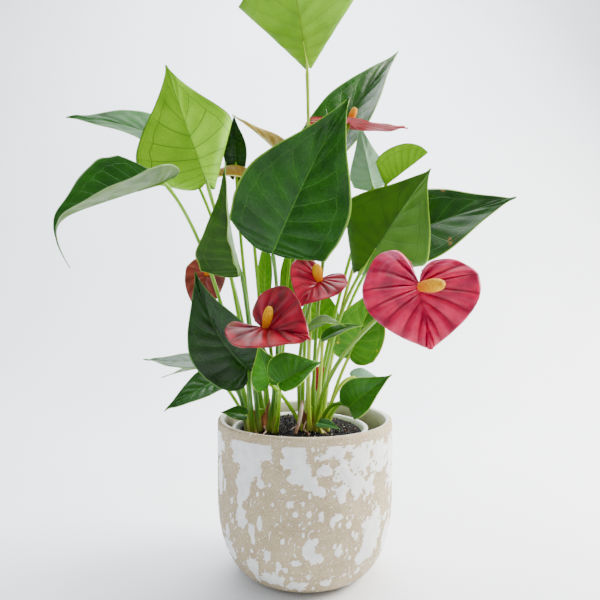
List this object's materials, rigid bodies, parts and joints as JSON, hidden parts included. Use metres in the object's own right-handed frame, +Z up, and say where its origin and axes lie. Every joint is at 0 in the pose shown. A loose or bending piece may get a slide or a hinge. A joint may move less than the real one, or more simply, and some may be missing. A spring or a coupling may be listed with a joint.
{
  "type": "potted anthurium",
  "caption": "Flowering anthurium with heart-shaped leaves, red spathes and yellow spadices in a round glazed stoneware pot.",
  "frame": {"origin": "on the surface that the pads rest on, on the axis of the cover pot", "axes": "+Z up along the pot's axis, +X to the right and +Y to the back of the plant as it is looked at"},
  "size_m": [0.3625, 0.226, 0.4626],
  "materials": {
    "stoneware": "bare speckled stoneware with satin off-white glaze splashes",
    "silicone": "clear silicone",
    "nursery_plastic": "thin translucent moulded plastic",
    "potting_mix": "damp bark and peat mix",
    "stem": "smooth waxy stalk",
    "root": "dry aerial root",
    "leaf_green": "glossy waxy leaf",
    "leaf_lit": "young leaf, satin underside",
    "leaf_pale": "grey-green satin leaf",
    "leaf_bronze": "bronze young leaf",
    "spathe_red": "lacquered glossy spathe",
    "spathe_deep": "deep red glossy spathe",
    "spathe_faded": "faded spathe",
    "spadix": "fine beaded matt surface"
  },
  "bodies": {
    "root": {"aerial_root": "root", "ceramic_pot": "stoneware", "crown_left": "stem", "crown_right": "stem", "flower_crimson_spadix": "spadix", "flower_crimson_spathe": "spathe_red", "flower_crimson_stalk": "stem", "flower_deep_red_spadix": "spadix", "flower_deep_red_spathe": "spathe_deep", "flower_deep_red_stalk": "stem", "flower_edge_on_spadix": "spadix", "flower_edge_on_spathe": "spathe_red", "flower_edge_on_stalk": "stem", "flower_faded_spadix": "spadix", "flower_faded_spathe": "spathe_faded", "flower_faded_stalk": "stem", "flower_large_spadix": "spadix", "flower_large_spathe": "spathe_red", "flower_large_stalk": "stem", "flower_small_spadix": "spadix", "flower_small_spathe": "spathe_red", "flower_small_stalk": "stem", "leaf_back_high": "leaf_green", "leaf_bright_behind": "leaf_lit", "leaf_bronze": "leaf_bronze", "leaf_centre_left": "leaf_green", "leaf_centre_right": "leaf_green", "leaf_curled": "leaf_lit", "leaf_far_left": "leaf_green", "leaf_far_right": "leaf_green", "leaf_folded": "leaf_green", "leaf_front": "leaf_green", "leaf_green_upright": "leaf_lit", "leaf_grey_left": "leaf_pale", "leaf_left_back": "leaf_pale", "leaf_left_upright": "leaf_lit", "leaf_low_left": "leaf_green", "leaf_low_right": "leaf_green", "leaf_narrow_right": "leaf_lit", "leaf_olive_left": "leaf_bronze", "leaf_olive_right": "leaf_lit", "leaf_on_mix": "leaf_pale", "leaf_pale_back": "leaf_pale", "leaf_pale_right": "leaf_pale", "leaf_pale_upright": "leaf_lit", "leaf_rim_left": "leaf_pale", "leaf_round_right": "leaf_lit", "leaf_small_dark": "leaf_green", "leaf_small_triangle": "leaf_lit", "leaf_tan": "leaf_bronze", "leaf_thin_left": "leaf_bronze", "leaf_top": "leaf_lit", "nursery_pot": "nursery_plastic", "pad_front": "silicone", "pad_left": "silicone", "pad_right": "silicone", "petiole_stub": "stem", "potting_mix": "potting_mix"}
  },
  "joints": []
}
